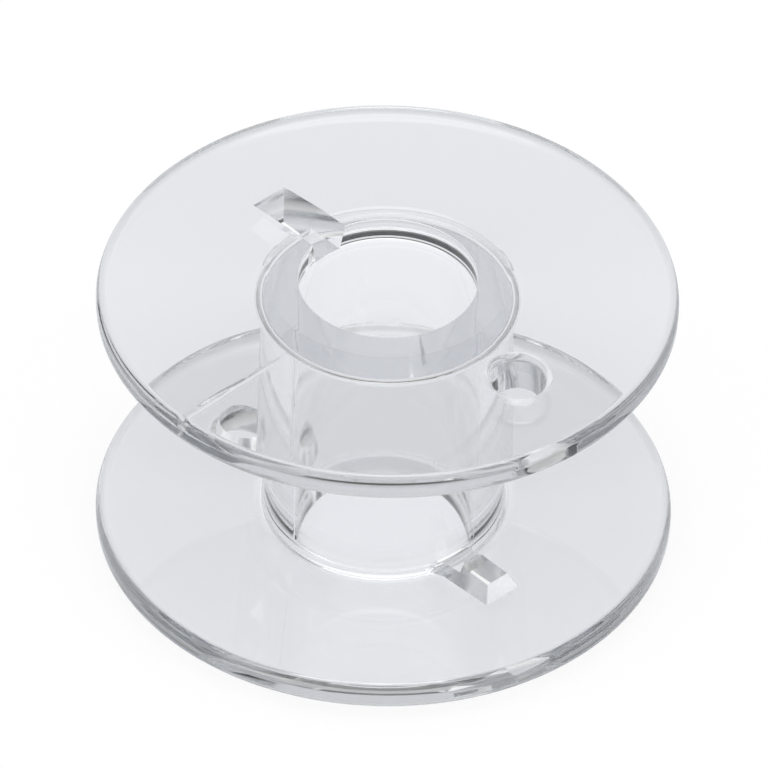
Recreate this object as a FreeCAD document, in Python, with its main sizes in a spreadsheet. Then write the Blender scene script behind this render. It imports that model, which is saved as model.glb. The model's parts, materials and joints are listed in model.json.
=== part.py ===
import FreeCAD, Part
import os
import Sketcher

# Sewing machine bobbin, moulded in one piece from clear plastic.
# A tubular hub carries two flanges, whose outer faces fall away a little from the hub's ends to the rims.
# The bore runs along Z, and the hub's lower end rests on the XY plane, with the bore's axis through the origin.
# The upper flange has its thread hole at +X and its thread slot at -X, and the lower flange the other way round.

doc = FreeCAD.newDocument("bobbin")

# Driving sizes, in millimetres and degrees

driving_sizes = {
    "flange_diameter": 20.4,
    "overall_height": 11.6,
    # flanges: thickness at the rim, and how far the hub's ends stand out past the rims
    "flange_thickness": 1.0,
    "hub_rise": 0.44,
    "hub_diameter": 8.5,
    "bore_diameter": 6.3,
    # rims: round on the outer faces, with a narrow flat before the face's slope, and bevelled inside
    "rim_rounding": 0.4,
    "rim_land": 0.05,
    "rim_bevel": 0.3,
    # bevels at the hub's roots and at the bore's ends
    "root_bevel": 0.3,
    "bore_bevel": 0.12,
    # thread slots: they go through the flange from just outside the hub's root,
    # and reach the bore as a groove across the hub's end
    "root_land": 0.05,
    "slot_length": 1.62,
    "slot_width": 1.55,
    "slot_draft": 12.0,
    "groove_depth": 0.95,
    # thread holes: centre from the hub's wall, bevel of the mouth, diameter under it, slope of the wall
    "hole_distance": 2.42,
    "hole_bevel": 0.26,
    "hole_diameter": 1.92,
    "hole_draft": 9.0,
    # how far a cutting shape stands out of the face that it cuts
    "cut_overrun": 0.2,
}

sizes = doc.addObject("Spreadsheet::Sheet", "sizes")
for row, (name, value) in enumerate(driving_sizes.items(), start=1):
    sizes.set(f"A{row}", name)
    sizes.set(f"B{row}", str(value))
    sizes.setAlias(f"B{row}", name)
doc.recompute()

body = doc.addObject("PartDesign::Body", "bobbin")
body.Label = "bobbin"

FULL_TURN = 360.0


def sized(text):
    """An expression in which each driving size is read from the sheet."""
    words = text.split()
    return " ".join(f"<<sizes>>.{word}" if word in driving_sizes else word for word in words)


def sketch_on(role, name):
    """A new sketch on one of the body's own origin planes."""
    planes = [feature for feature in body.Origin.OriginFeatures if feature.Role == role]
    sketch = body.newObject("Sketcher::SketchObject", name)
    sketch.AttachmentSupport = [(planes[0], "")]
    sketch.MapMode = "FlatFace"
    return sketch


def outline(sketch, corners):
    """A closed outline of straight lines, with its lines held level or upright where they start so."""
    points = [FreeCAD.Vector(x, y, 0) for x, y in corners]
    count = len(points)
    for index in range(count):
        sketch.addGeometry(Part.LineSegment(points[index], points[(index + 1) % count]))
    for index in range(count):
        following = (index + 1) % count
        sketch.addConstraint(Sketcher.Constraint("Coincident", index, 2, following, 1))
        run = points[following] - points[index]
        if run.y == 0:
            sketch.addConstraint(Sketcher.Constraint("Horizontal", index))
        elif run.x == 0:
            sketch.addConstraint(Sketcher.Constraint("Vertical", index))


def place_corner(sketch, line, across=None, up=None):
    """Hold the first point of a line at a distance from the sketch's origin, by expressions."""
    point = sketch.Geometry[line].StartPoint
    if across:
        index = sketch.addConstraint(Sketcher.Constraint("DistanceX", -1, 1, line, 1, point.x))
        sketch.setExpression(f"Constraints[{index}]", sized(across))
    if up:
        index = sketch.addConstraint(Sketcher.Constraint("DistanceY", -1, 1, line, 1, point.y))
        sketch.setExpression(f"Constraints[{index}]", sized(up))


def circles_at(shape, diameter, heights):
    """The names of the level round edges that have this diameter and lie at these heights."""
    tolerance = 1e-5
    names = []
    for index, edge in enumerate(shape.Edges, start=1):
        curve = edge.Curve
        if not isinstance(curve, Part.Circle) or abs(curve.Radius - diameter / 2) > tolerance:
            continue
        if any(abs(curve.Center.z - height) < tolerance for height in heights):
            names.append(f"Edge{index}")
    return names


def round_edges(name, diameter, heights, radius):
    """Round the edges of one diameter at these heights."""
    doc.recompute()
    base = body.Tip
    rounding = body.newObject("PartDesign::Fillet", name)
    rounding.Base = (base, circles_at(base.Shape, diameter, heights))
    rounding.setExpression("Radius", sized(radius))


def bevel_edges(name, diameter, heights, size):
    """Bevel the edges of one diameter at these heights."""
    doc.recompute()
    base = body.Tip
    bevel = body.newObject("PartDesign::Chamfer", name)
    bevel.Base = (base, circles_at(base.Shape, diameter, heights))
    bevel.setExpression("Size", sized(size))


# Turned form: the half section of the flanges, hub and bore

section = sketch_on("XZ_Plane", "half_section")
bore = sizes.bore_diameter / 2
hub = sizes.hub_diameter / 2
rim = sizes.flange_diameter / 2
top = sizes.overall_height
lower_rim = sizes.hub_rise
upper_rim = top - sizes.hub_rise
lower_face = lower_rim + sizes.flange_thickness
upper_face = upper_rim - sizes.flange_thickness
slope_end = rim - sizes.rim_rounding - sizes.rim_land
outline(section, [(bore, 0), (hub, 0), (slope_end, lower_rim), (rim, lower_rim), (rim, lower_face),
                  (hub, lower_face), (hub, upper_face), (rim, upper_face), (rim, upper_rim),
                  (slope_end, upper_rim), (hub, top), (bore, top)])
section.addConstraint(Sketcher.Constraint("PointOnObject", 0, 1, -1))
SLOPE_END = "( flange_diameter / 2 - rim_rounding - rim_land )"
place_corner(section, 0, across="bore_diameter / 2")
place_corner(section, 1, across="hub_diameter / 2")
place_corner(section, 2, across=SLOPE_END, up="hub_rise")
place_corner(section, 3, across="flange_diameter / 2")
place_corner(section, 5, across="hub_diameter / 2", up="hub_rise + flange_thickness")
place_corner(section, 7, across="flange_diameter / 2", up="overall_height - hub_rise - flange_thickness")
place_corner(section, 9, across=SLOPE_END, up="overall_height - hub_rise")
place_corner(section, 10, across="hub_diameter / 2", up="overall_height")

turned = body.newObject("PartDesign::Revolution", "flanges_and_hub")
turned.Profile = section
turned.ReferenceAxis = (section, ["V_Axis"])
turned.Angle = FULL_TURN

round_edges("outer_rims", sizes.flange_diameter, (lower_rim, upper_rim), "rim_rounding")
bevel_edges("inner_rims", sizes.flange_diameter, (lower_face, upper_face), "rim_bevel")
bevel_edges("hub_roots", sizes.hub_diameter, (lower_face, upper_face), "root_bevel")
bevel_edges("bore_ends", sizes.bore_diameter, (0, top), "bore_bevel")


# Thread slots: a drafted cut through the flange, and a drafted groove from it to the bore

SLOT_START = "( hub_diameter / 2 + root_bevel + root_land )"
SLOT_END = f"( {SLOT_START} + slot_length )"
GROOVE_START = "( bore_diameter / 4 )"


def slot_section(name, end, inward, depth, start, side):
    """The slot's outline at a depth under the hub's end, narrower and shorter as it goes deeper."""
    sketch = sketch_on("XY_Plane", name)
    sketch.setExpression("AttachmentOffset.Base.z", sized(f"{end} + {inward} * ( {depth} )"))
    half_width = f"( slot_width / 2 - ( {depth} ) * tan( slot_draft * 1 deg ) )"
    half = sizes.slot_width / 2
    outline(sketch, [(side * bore, -half), (side * rim, -half), (side * rim, half), (side * bore, half)])
    place_corner(sketch, 0, across=f"{side} * {start}", up=f"- {half_width}")
    slot_end = f"( {SLOT_END} - ( {depth} ) * tan( slot_draft * 1 deg ) )"
    place_corner(sketch, 2, across=f"{side} * {slot_end}", up=half_width)
    return sketch


def slot_cut(name, end, inward, depth, start, side):
    """Cut from outside the hub's end down to a depth under it."""
    loft = body.newObject("PartDesign::SubtractiveLoft", name)
    loft.Profile = slot_section(f"{name}_mouth", end, inward, "- cut_overrun", start, side)
    loft.Sections = [slot_section(f"{name}_floor", end, inward, depth, start, side)]
    loft.Ruled = True
    doc.recompute()


# Thread holes: conical, narrower inwards, with a bevelled mouth on the outer face for the thread

HOLE_CENTRE = "( hub_diameter / 2 + hole_distance )"
FACE_FALL = f"( hub_rise * hole_distance / ( {SLOPE_END} - hub_diameter / 2 ) )"


def hole_cut(name, end, inward, side):
    """A conical hole through one flange, turned about its own axis, which starts on the outer face."""
    sketch = sketch_on("XZ_Plane", f"{name}_section")
    sketch.setExpression("AttachmentOffset.Base.x", sized(f"{side} * {HOLE_CENTRE}"))
    sketch.setExpression("AttachmentOffset.Base.y", sized(f"{end} + {inward} * {FACE_FALL}"))
    floor = "( hub_rise + flange_thickness + cut_overrun )"
    floor_radius = f"hole_diameter / 2 - ( {floor} - hole_bevel ) * tan( hole_draft * 1 deg )"
    radius = sizes.hole_diameter / 2
    bevel = sizes.hole_bevel
    outline(sketch, [(0, -inward * bevel), (radius + bevel, -inward * bevel), (radius, inward * bevel),
                     (radius / 2, inward * lower_face), (0, inward * lower_face)])
    sketch.addConstraint(Sketcher.Constraint("PointOnObject", 0, 1, -2))
    mouth_radius = "hole_diameter / 2 + hole_bevel + cut_overrun"
    place_corner(sketch, 1, across=mouth_radius, up=f"{-inward} * cut_overrun")
    place_corner(sketch, 2, across="hole_diameter / 2", up=f"{inward} * hole_bevel")
    place_corner(sketch, 3, across=floor_radius, up=f"{inward} * {floor}")
    cone = body.newObject("PartDesign::Groove", name)
    cone.Profile = sketch
    cone.ReferenceAxis = (sketch, ["V_Axis"])
    cone.Angle = FULL_TURN
    doc.recompute()


for flange, end, inward, hole_side in (("upper", "overall_height", -1, 1), ("lower", "0", 1, -1)):
    through = "hub_rise + flange_thickness + cut_overrun"
    slot_cut(f"{flange}_slot", end, inward, through, SLOT_START, -hole_side)
    slot_cut(f"{flange}_groove", end, inward, "groove_depth", GROOVE_START, -hole_side)
    hole_cut(f"{flange}_hole", end, inward, hole_side)


# Checks on every step of the model, then the file

def check_step(item):
    """Stop if a step failed, or if a cut took nothing away."""
    if "Invalid" in item.State or "Error" in item.State:
        raise RuntimeError(f"{item.Name} failed: {item.State}")
    if item.isDerivedFrom("PartDesign::SubtractiveLoft") or item.isDerivedFrom("PartDesign::Groove"):
        if item.Shape.Volume >= item.BaseFeature.Shape.Volume:
            raise RuntimeError(f"{item.Name} cuts nothing")


for step in doc.Objects:
    check_step(step)
solid = body.Shape
if solid.isNull() or not solid.isValid() or len(solid.Solids) != 1:
    raise RuntimeError("the bobbin is not one valid solid")
os.makedirs("parts", exist_ok=True)
solid.exportStep(f"parts/{body.Label}.step")
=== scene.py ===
import json
import math

import bmesh
import bpy
from mathutils import Matrix, Vector


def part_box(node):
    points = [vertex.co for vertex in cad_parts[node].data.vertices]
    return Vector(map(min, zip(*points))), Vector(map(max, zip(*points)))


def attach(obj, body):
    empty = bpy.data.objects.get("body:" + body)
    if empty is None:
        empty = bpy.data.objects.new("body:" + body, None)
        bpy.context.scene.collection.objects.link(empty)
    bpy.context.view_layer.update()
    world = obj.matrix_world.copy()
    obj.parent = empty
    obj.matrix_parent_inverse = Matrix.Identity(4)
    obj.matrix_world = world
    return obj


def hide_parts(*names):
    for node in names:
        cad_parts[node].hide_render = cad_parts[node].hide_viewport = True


# A clear moulded sewing machine bobbin, on a white floor and seen from above.
# The moulding is drawn in millimetres, and MM turns them into the scene's metres.

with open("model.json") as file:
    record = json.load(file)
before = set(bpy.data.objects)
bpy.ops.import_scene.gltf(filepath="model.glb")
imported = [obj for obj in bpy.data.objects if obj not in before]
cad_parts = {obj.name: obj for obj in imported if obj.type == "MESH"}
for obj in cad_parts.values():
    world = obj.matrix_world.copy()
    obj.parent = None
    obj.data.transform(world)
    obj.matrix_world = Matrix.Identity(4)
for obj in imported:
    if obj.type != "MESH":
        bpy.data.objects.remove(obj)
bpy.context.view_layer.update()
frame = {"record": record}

MM = 0.001

# Sizes that the frame gives

node_low, node_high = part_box("bobbin")
RIM = node_high.x / MM
HEIGHT = node_high.z / MM
bore_mount = next(mount for mount in frame["record"]["mounts"] if mount["name"] == "bore")
BORE = bore_mount["dims"]["r_mm"]

# Sizes of the moulding that the frame doesn't give

CROWN = 0.44
INNER_FACE = CROWN + 1.0
HUB = 4.25
RIM_ROUNDING = 0.4
ROOT_ROUNDING = 0.5
BORE_ROUNDING = 0.05
SLOT_START = 4.6
SLOT_END = 6.22
SLOT_HALF_WIDTH = 0.775
SLOT_DRAFT = math.radians(12.0)
GROOVE_DEPTH = 0.95
HOLE_CENTRE = 6.67
HOLE_RADIUS = 1.0
HOLE_DRAFT = math.radians(9.0)
HOLE_ROUNDING = 0.28
OVERRUN = 0.2

# The outer faces slope from the hub's ends to where they meet the rims' rounding

slope_run = RIM - RIM_ROUNDING - HUB
slope_fall = CROWN + RIM_ROUNDING
SLOPE = math.atan2(slope_fall, slope_run) - math.asin(RIM_ROUNDING / math.hypot(slope_run, slope_fall))
CREASE = 0.05

# The mould's parting line: a fine ridge on the hub and on the upper flange's inner face

RIDGE_HEIGHT = 0.02
RIDGE_ANGLE = math.radians(270.0)

# Fineness of the mesh

TURN_STEPS = 360
ARC_STEPS = 12
HOLE_STEPS = 72
SHARP_ANGLE = math.radians(9.0)
ROUND_OFF = 0.0005


def arc(centre, radius, start, end, steps=ARC_STEPS):
    """Points along an arc in the plane of radius and height, with its angles in degrees."""
    points = []
    for step in range(steps + 1):
        angle = math.radians(start + (end - start) * step / steps)
        points.append((centre[0] + radius * math.cos(angle), centre[1] + radius * math.sin(angle)))
    return points


def mesh_object(name, mesh):
    """A new object in the scene with this mesh."""
    piece = bpy.data.objects.new(name, mesh)
    bpy.context.scene.collection.objects.link(piece)
    return piece


def solid_from(name, rings, closed_path):
    """A closed solid from rings of points, each joined to the next and to itself."""
    shape = bmesh.new()
    verts = [[shape.verts.new(point) for point in ring] for ring in rings]
    count = len(verts)
    for index in range(count if closed_path else count - 1):
        ring, following = verts[index], verts[(index + 1) % count]
        for place in range(len(ring)):
            beside = (place + 1) % len(ring)
            shape.faces.new((ring[place], ring[beside], following[beside], following[place]))
    if not closed_path:
        shape.faces.new(verts[0])
        shape.faces.new(verts[-1])
    bmesh.ops.recalc_face_normals(shape, faces=shape.faces)
    mesh = bpy.data.meshes.new(name)
    shape.to_mesh(mesh)
    shape.free()
    return mesh_object(name, mesh)


def turned(name, section, steps, closed_path=True, centre=(0.0, 0.0)):
    """A solid turned about an upright axis from points of radius and height."""
    rings = []
    for radius, height in section:
        ring = []
        for step in range(steps):
            angle = 2 * math.pi * step / steps
            ring.append((centre[0] + radius * math.cos(angle), centre[1] + radius * math.sin(angle), height))
        rings.append(ring)
    return solid_from(name, rings, closed_path)


def cut(piece, tool):
    """Cut a piece by a tool, and delete the tool."""
    modifier = piece.modifiers.new("cut", "BOOLEAN")
    modifier.operation = "DIFFERENCE"
    modifier.solver = "EXACT"
    modifier.object = tool
    graph = bpy.context.evaluated_depsgraph_get()
    result = bpy.data.meshes.new_from_object(piece.evaluated_get(graph))
    piece.modifiers.clear()
    piece.data = result
    bpy.data.objects.remove(tool)


def half_section():
    """The section of both flanges and the hub, from the bore's lower edge round to its upper edge."""
    lower = arc((BORE + BORE_ROUNDING, BORE_ROUNDING), BORE_ROUNDING, 180, 270)
    lower += [(HUB - CREASE, 0.0), (HUB + CREASE, CREASE * math.tan(SLOPE))]
    lower += arc((RIM - RIM_ROUNDING, CROWN + RIM_ROUNDING), RIM_ROUNDING, 270 + math.degrees(SLOPE), 360)
    lower += arc((RIM - RIM_ROUNDING, INNER_FACE - RIM_ROUNDING), RIM_ROUNDING, 0, 90)
    lower += arc((HUB + ROOT_ROUNDING, INNER_FACE + ROOT_ROUNDING), ROOT_ROUNDING, 270, 180)
    upper = [(radius, HEIGHT - height) for radius, height in reversed(lower)]
    return lower + upper


def slot_tool(end, inward, side):
    """A stepped bar with sloping walls that cuts a slot through a flange and its groove to the bore."""
    through = INNER_FACE + OVERRUN
    draft = math.tan(SLOT_DRAFT)
    profile = ((BORE / 2, -OVERRUN), (SLOT_END + OVERRUN * draft, -OVERRUN),
               (SLOT_END - through * draft, through), (SLOT_START, through),
               (SLOT_START, GROOVE_DEPTH), (BORE / 2, GROOVE_DEPTH))
    rings = []
    for edge in (-1, 1):
        ring = []
        for along, depth in profile:
            half = SLOT_HALF_WIDTH - depth * draft
            ring.append((side * along, edge * half, end + inward * depth))
        rings.append(ring)
    return solid_from("slot_tool", rings, closed_path=False)


def hole_tool(end, inward, side):
    """A cone that cuts a thread hole, with a flare that follows the outer face's slope."""
    flare = HOLE_ROUNDING / math.tan(math.radians(45) + HOLE_DRAFT / 2)
    centre = (HOLE_RADIUS + flare, HOLE_ROUNDING)
    section = arc(centre, HOLE_ROUNDING, 270, 180 + math.degrees(HOLE_DRAFT))
    section = [(section[0][0], -OVERRUN)] + section
    floor = INNER_FACE + OVERRUN
    section.append((HOLE_RADIUS - floor * math.tan(HOLE_DRAFT), floor))
    section = [(radius, end + inward * depth) for radius, depth in section]
    tool = turned("hole_tool", section, HOLE_STEPS, closed_path=False, centre=(side * HOLE_CENTRE, 0.0))
    for vert in tool.data.vertices:
        vert.co.z += inward * (side * vert.co.x - HUB) * math.tan(SLOPE)
    return tool


def raise_ridge(piece):
    """Raise one column of the turned form's points, up the hub and out along the upper flange."""
    way = Vector((math.cos(RIDGE_ANGLE), math.sin(RIDGE_ANGLE)))
    near, far = HUB + ROOT_ROUNDING, RIM - RIM_ROUNDING
    for vert in piece.data.vertices:
        radius = vert.co.xy.length
        if (vert.co.xy - way * radius).length > ROUND_OFF:
            continue
        if abs(radius - HUB) < ROUND_OFF:
            vert.co.xy += way * RIDGE_HEIGHT
        elif abs(vert.co.z - HEIGHT + INNER_FACE) < ROUND_OFF and near - ROUND_OFF < radius < far + ROUND_OFF:
            vert.co.z -= RIDGE_HEIGHT


def set_stops(ramp, stops):
    """Give a ramp node its grey levels."""
    marks = ramp.color_ramp.elements
    while len(marks) < len(stops):
        marks.new(0.5)
    for mark, (position, level) in zip(marks, stops):
        mark.position = position
        mark.color = (level, level, level, 1.0)


def make_bobbin():
    """The moulding: the turned form, cut by each flange's slot, groove and hole."""
    piece = turned("bobbin_moulding", half_section(), TURN_STEPS)
    raise_ridge(piece)
    for end, inward, hole_side in ((HEIGHT, -1, 1), (0.0, 1, -1)):
        cut(piece, slot_tool(end, inward, -hole_side))
        cut(piece, hole_tool(end, inward, hole_side))
    piece.data.transform(Matrix.Scale(MM, 4))
    piece.data.shade_smooth()
    piece.data.set_sharp_from_angle(angle=SHARP_ANGLE)
    level = piece.modifiers.new("flat_faces_stay_flat", "WEIGHTED_NORMAL")
    level.keep_sharp = True
    return piece


# The plastic: polished, less so outside the hub and in the slots and holes, a cool grey where deep, and
# painted shade on the rims' edges

# roughness of the upright walls, at shares of the rim's radius
WALL_STOPS = (
    (0.0, 0.012),
    (0.34, 0.012),
    (0.37, 0.06),
    (0.425, 0.06),
    (0.45, 0.13),
    (0.8, 0.13),
    (0.92, 0.02),
)
FACE_ROUGHNESS = 0.01
# how far a normal leans up or down on a wall and on a face
WALL_LEAN = 0.22
FACE_LEAN = 0.4
REFRACTION = 1.57
FINISH_SCALE = 350.0
FINISH_CHANGE = 0.3
WAVE_STRENGTH = 0.05
WAVE_DEPTH = 0.005 * MM
# painted shade: the rims' edges are painted a little greyer, for the dark look that light guided along them
# gives, from and to these shares of the rim's radius
RIM_SHADE_START = 0.965
RIM_SHADE_END = 0.99
RIM_SHADE_TONE = 0.65
DEEP_COLOUR = (0.0, 0.06, 0.12)
DEEP_DENSITY = 18.0


def clear_plastic():
    """Clear glossy plastic with a faint cool tint, the slight waviness of a moulded face, and painted shade
    greying the rims' edges.
    """
    material = bpy.data.materials.new("clear_plastic")
    material.use_nodes = True
    nodes = material.node_tree.nodes
    links = material.node_tree.links
    shader = nodes["Principled BSDF"]
    shader.inputs["Transmission Weight"].default_value = 1.0
    shader.inputs["IOR"].default_value = REFRACTION
    place = nodes.new("ShaderNodeTexCoord")
    flat = nodes.new("ShaderNodeVectorMath")
    flat.operation = "MULTIPLY"
    flat.inputs[1].default_value = (1 / (RIM * MM), 1 / (RIM * MM), 0.0)
    links.new(place.outputs["Object"], flat.inputs[0])
    radius = nodes.new("ShaderNodeVectorMath")
    radius.operation = "LENGTH"
    links.new(flat.outputs["Vector"], radius.inputs[0])
    # painted shade: the base colour goes from white to grey towards the rims' edges
    edge = nodes.new("ShaderNodeMapRange")
    edge.inputs["From Min"].default_value = RIM_SHADE_START
    edge.inputs["From Max"].default_value = RIM_SHADE_END
    edge.inputs["To Min"].default_value = 1.0
    edge.inputs["To Max"].default_value = RIM_SHADE_TONE
    links.new(radius.outputs["Value"], edge.inputs["Value"])
    links.new(edge.outputs["Result"], shader.inputs["Base Color"])
    walls = nodes.new("ShaderNodeValToRGB")
    set_stops(walls, WALL_STOPS)
    links.new(radius.outputs["Value"], walls.inputs["Fac"])
    normal = nodes.new("ShaderNodeNewGeometry")
    split = nodes.new("ShaderNodeSeparateXYZ")
    links.new(normal.outputs["Normal"], split.inputs["Vector"])
    level = nodes.new("ShaderNodeMath")
    level.operation = "ABSOLUTE"
    links.new(split.outputs["Z"], level.inputs[0])
    rough = nodes.new("ShaderNodeMapRange")
    rough.inputs["From Min"].default_value = WALL_LEAN
    rough.inputs["From Max"].default_value = FACE_LEAN
    rough.inputs["To Max"].default_value = FACE_ROUGHNESS
    links.new(walls.outputs["Color"], rough.inputs["To Min"])
    links.new(level.outputs[0], rough.inputs["Value"])
    finish = nodes.new("ShaderNodeTexNoise")
    finish.inputs["Scale"].default_value = FINISH_SCALE
    finish.inputs["Detail"].default_value = 0.0
    links.new(place.outputs["Object"], finish.inputs["Vector"])
    change = nodes.new("ShaderNodeMapRange")
    change.inputs["To Min"].default_value = 1.0 - FINISH_CHANGE
    change.inputs["To Max"].default_value = 1.0 + FINISH_CHANGE
    links.new(finish.outputs["Fac"], change.inputs["Value"])
    uneven = nodes.new("ShaderNodeMath")
    uneven.operation = "MULTIPLY"
    links.new(rough.outputs["Result"], uneven.inputs[0])
    links.new(change.outputs["Result"], uneven.inputs[1])
    links.new(uneven.outputs[0], shader.inputs["Roughness"])
    wave = nodes.new("ShaderNodeBump")
    wave.inputs["Strength"].default_value = WAVE_STRENGTH
    wave.inputs["Distance"].default_value = WAVE_DEPTH
    links.new(finish.outputs["Fac"], wave.inputs["Height"])
    links.new(wave.outputs["Normal"], shader.inputs["Normal"])
    depth = nodes.new("ShaderNodeVolumeAbsorption")
    depth.inputs["Color"].default_value = (*DEEP_COLOUR, 1.0)
    depth.inputs["Density"].default_value = DEEP_DENSITY
    links.new(depth.outputs["Volume"], nodes["Material Output"].inputs["Volume"])
    return material


# Light: strengths at which a white surface that faces up is about white

FLOOR_SHADE = 0.15
CAMERA_LIFT = 0.86
THROUGH_LIFT = (0.728, 0.741, 0.778)
MOST_BOUNCES = 32
# the sky's levels on the bobbin's far side, by height, and on the near side
FAR_STOPS = (
    (0.0, 0.9),
    (0.4, 0.75),
    (0.66, 0.55),
    (0.72, 0.03),
    (0.87, 0.03),
    (0.92, 0.8),
    (0.97, 1.0),
)
NEAR_LEVEL = 1.3
# where the far side goes over into the near side
SIDE_START = -0.15
SIDE_END = 0.25
SOFTBOX_SIZE = 0.36
SOFTBOX_HEIGHT = 0.5
SOFTBOX_POWER = 0.35

# Camera: where it stands round the bobbin's middle, and how the picture is framed

CAMERA_AZIMUTH = math.radians(46.6)
CAMERA_ELEVATION = math.radians(41.07)
CAMERA_ROLL = math.radians(1.142)
CAMERA_DISTANCE = 455.0 * MM
CAMERA_LENS = 605.5
SENSOR_WIDTH = 36.0
FRAME_UP = 0.673 * MM
FRAME_RIGHT = -0.05 * MM


def make_floor():
    """A wide white floor just under the bobbin, clear when seen from below."""
    reach = 0.6
    gap = 0.02 * MM
    mesh = bpy.data.meshes.new("floor")
    shape = bmesh.new()
    bmesh.ops.create_grid(shape, x_segments=1, y_segments=1, size=reach)
    shape.to_mesh(mesh)
    shape.free()
    floor = mesh_object("floor", mesh)
    floor.location.z = -gap
    floor.data.materials.append(floor_paint())


def floor_paint():
    """Matt white that keeps shadows, lifted to white for the camera and to a cool grey through plastic."""
    paint = bpy.data.materials.new("white_floor")
    paint.use_nodes = True
    nodes = paint.node_tree.nodes
    links = paint.node_tree.links
    shader = nodes["Principled BSDF"]
    shader.inputs["Base Color"].default_value = (FLOOR_SHADE, FLOOR_SHADE, FLOOR_SHADE, 1.0)
    shader.inputs["Roughness"].default_value = 1.0
    shader.inputs["Specular IOR Level"].default_value = 0.0
    path = nodes.new("ShaderNodeLightPath")
    through = nodes.new("ShaderNodeMath")
    through.operation = "MAXIMUM"
    links.new(path.outputs["Is Glossy Ray"], through.inputs[0])
    links.new(path.outputs["Is Transmission Ray"], through.inputs[1])
    pale = nodes.new("ShaderNodeMix")
    pale.data_type = "RGBA"
    pale.inputs["A"].default_value = (0.0, 0.0, 0.0, 1.0)
    pale.inputs["B"].default_value = (*THROUGH_LIFT, 1.0)
    links.new(through.outputs[0], pale.inputs["Factor"])
    white = nodes.new("ShaderNodeMix")
    white.data_type = "RGBA"
    white.inputs["B"].default_value = (CAMERA_LIFT, CAMERA_LIFT, CAMERA_LIFT, 1.0)
    links.new(path.outputs["Is Camera Ray"], white.inputs["Factor"])
    links.new(pale.outputs["Result"], white.inputs["A"])
    links.new(white.outputs["Result"], shader.inputs["Emission Color"])
    shader.inputs["Emission Strength"].default_value = 1.0
    below = nodes.new("ShaderNodeNewGeometry")
    clear = nodes.new("ShaderNodeBsdfTransparent")
    side = nodes.new("ShaderNodeMixShader")
    links.new(below.outputs["Backfacing"], side.inputs["Fac"])
    links.new(shader.outputs["BSDF"], side.inputs[1])
    links.new(clear.outputs["BSDF"], side.inputs[2])
    links.new(side.outputs["Shader"], nodes["Material Output"].inputs["Surface"])
    return paint


def make_sky():
    """The studio: even light on the near side, and on the far side white, a dark gap and white again."""
    world = bpy.context.scene.world or bpy.data.worlds.new("studio")
    bpy.context.scene.world = world
    world.use_nodes = True
    nodes = world.node_tree.nodes
    links = world.node_tree.links
    nodes.clear()
    place = nodes.new("ShaderNodeTexCoord")
    split = nodes.new("ShaderNodeSeparateXYZ")
    far = nodes.new("ShaderNodeValToRGB")
    set_stops(far, FAR_STOPS)
    links.new(place.outputs["Generated"], split.inputs["Vector"])
    links.new(split.outputs["Z"], far.inputs["Fac"])
    toward = nodes.new("ShaderNodeVectorMath")
    toward.operation = "DOT_PRODUCT"
    toward.inputs[1].default_value = (math.sin(CAMERA_AZIMUTH), -math.cos(CAMERA_AZIMUTH), 0.0)
    links.new(place.outputs["Generated"], toward.inputs[0])
    side = nodes.new("ShaderNodeMapRange")
    side.inputs["From Min"].default_value = SIDE_START
    side.inputs["From Max"].default_value = SIDE_END
    links.new(toward.outputs["Value"], side.inputs["Value"])
    around = nodes.new("ShaderNodeMix")
    around.data_type = "RGBA"
    around.inputs["B"].default_value = (NEAR_LEVEL, NEAR_LEVEL, NEAR_LEVEL, 1.0)
    links.new(side.outputs["Result"], around.inputs["Factor"])
    links.new(far.outputs["Color"], around.inputs["A"])
    path = nodes.new("ShaderNodeLightPath")
    white = nodes.new("ShaderNodeMix")
    white.data_type = "RGBA"
    white.inputs["B"].default_value = (1.0, 1.0, 1.0, 1.0)
    links.new(path.outputs["Is Camera Ray"], white.inputs["Factor"])
    links.new(around.outputs["Result"], white.inputs["A"])
    sky = nodes.new("ShaderNodeBackground")
    links.new(white.outputs["Result"], sky.inputs["Color"])
    output = nodes.new("ShaderNodeOutputWorld")
    links.new(sky.outputs["Background"], output.inputs["Surface"])


def make_softbox():
    """One wide lamp straight above."""
    lamp = bpy.data.lights.new("softbox", "AREA")
    lamp.shape = "SQUARE"
    lamp.size = SOFTBOX_SIZE
    lamp.energy = SOFTBOX_POWER
    softbox = bpy.data.objects.new("softbox", lamp)
    bpy.context.scene.collection.objects.link(softbox)
    softbox.location.z = SOFTBOX_HEIGHT


def make_camera():
    """A camera with a long lens that looks down at the bobbin's middle."""
    data = bpy.data.cameras.new("camera")
    data.lens = CAMERA_LENS
    data.sensor_width = SENSOR_WIDTH
    camera = bpy.data.objects.new("camera", data)
    bpy.context.scene.collection.objects.link(camera)
    level = math.cos(CAMERA_ELEVATION)
    back = Vector((math.sin(CAMERA_AZIMUTH) * level, -math.cos(CAMERA_AZIMUTH) * level,
                   math.sin(CAMERA_ELEVATION)))
    turn = (-back).to_track_quat("-Z", "Y").to_matrix() @ Matrix.Rotation(CAMERA_ROLL, 3, "Z")
    middle = Vector((0.0, 0.0, HEIGHT * MM / 2))
    camera.location = middle + back * CAMERA_DISTANCE + turn @ Vector((FRAME_RIGHT, FRAME_UP, 0.0))
    camera.rotation_mode = "QUATERNION"
    camera.rotation_quaternion = turn.to_quaternion()
    bpy.context.scene.camera = camera


def follow_light():
    """Let light pass many faces and bounce far along inside the flanges, as it does in clear plastic."""
    cycles = bpy.context.scene.cycles
    cycles.max_bounces = MOST_BOUNCES
    cycles.glossy_bounces = MOST_BOUNCES
    cycles.transmission_bounces = MOST_BOUNCES


bobbin = make_bobbin()
bobbin.data.materials.clear()
bobbin.data.materials.append(clear_plastic())
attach(bobbin, "root")
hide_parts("bobbin")
make_floor()
make_sky()
make_softbox()
make_camera()
follow_light()
bpy.context.scene.view_settings.view_transform = "Standard"
